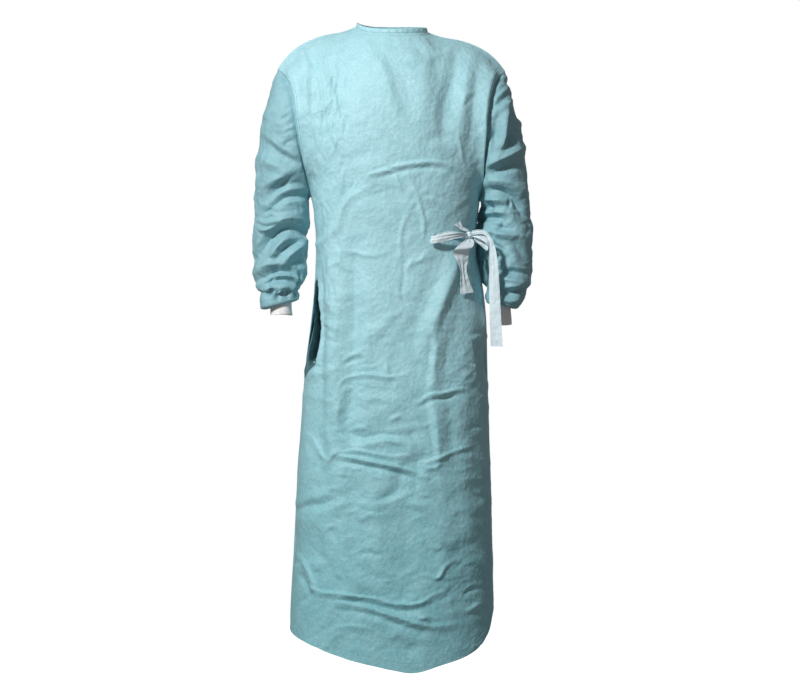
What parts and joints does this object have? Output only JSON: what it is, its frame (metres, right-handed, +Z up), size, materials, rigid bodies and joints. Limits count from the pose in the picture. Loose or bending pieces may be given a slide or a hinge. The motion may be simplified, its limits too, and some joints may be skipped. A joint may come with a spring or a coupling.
{
  "type": "surgical gown",
  "caption": "Long-sleeved wraparound surgical gown, filled out and empty, with knitted cuffs, a bound neck and waist ties in a bow at the wearer's left.",
  "frame": {"origin": "the mount worn_on_shoulders: midway between the shoulders at the base of the neck, inside the neck opening", "axes": "+Z up the wearer's spine, -Y out of the gown's front, +X towards the wearer's left"},
  "size_m": [0.5979, 0.369, 1.3666],
  "materials": {
    "gown_cloth": "matte nonwoven cloth",
    "tie_cloth": "matte nonwoven tape",
    "cuff_knit": "ribbed knit"
  },
  "bodies": {
    "root": {"front": "gown_cloth", "back_left": "gown_cloth", "back_right": "gown_cloth", "sleeve_left": "gown_cloth", "sleeve_right": "gown_cloth", "neck_binding": "gown_cloth", "cuff_left": "cuff_knit", "cuff_right": "cuff_knit", "knot": "tie_cloth", "loop_left": "tie_cloth", "loop_right": "tie_cloth", "end_short": "tie_cloth", "end_long": "tie_cloth", "tie_root": "tie_cloth", "waist_strap": "tie_cloth"}
  },
  "joints": []
}
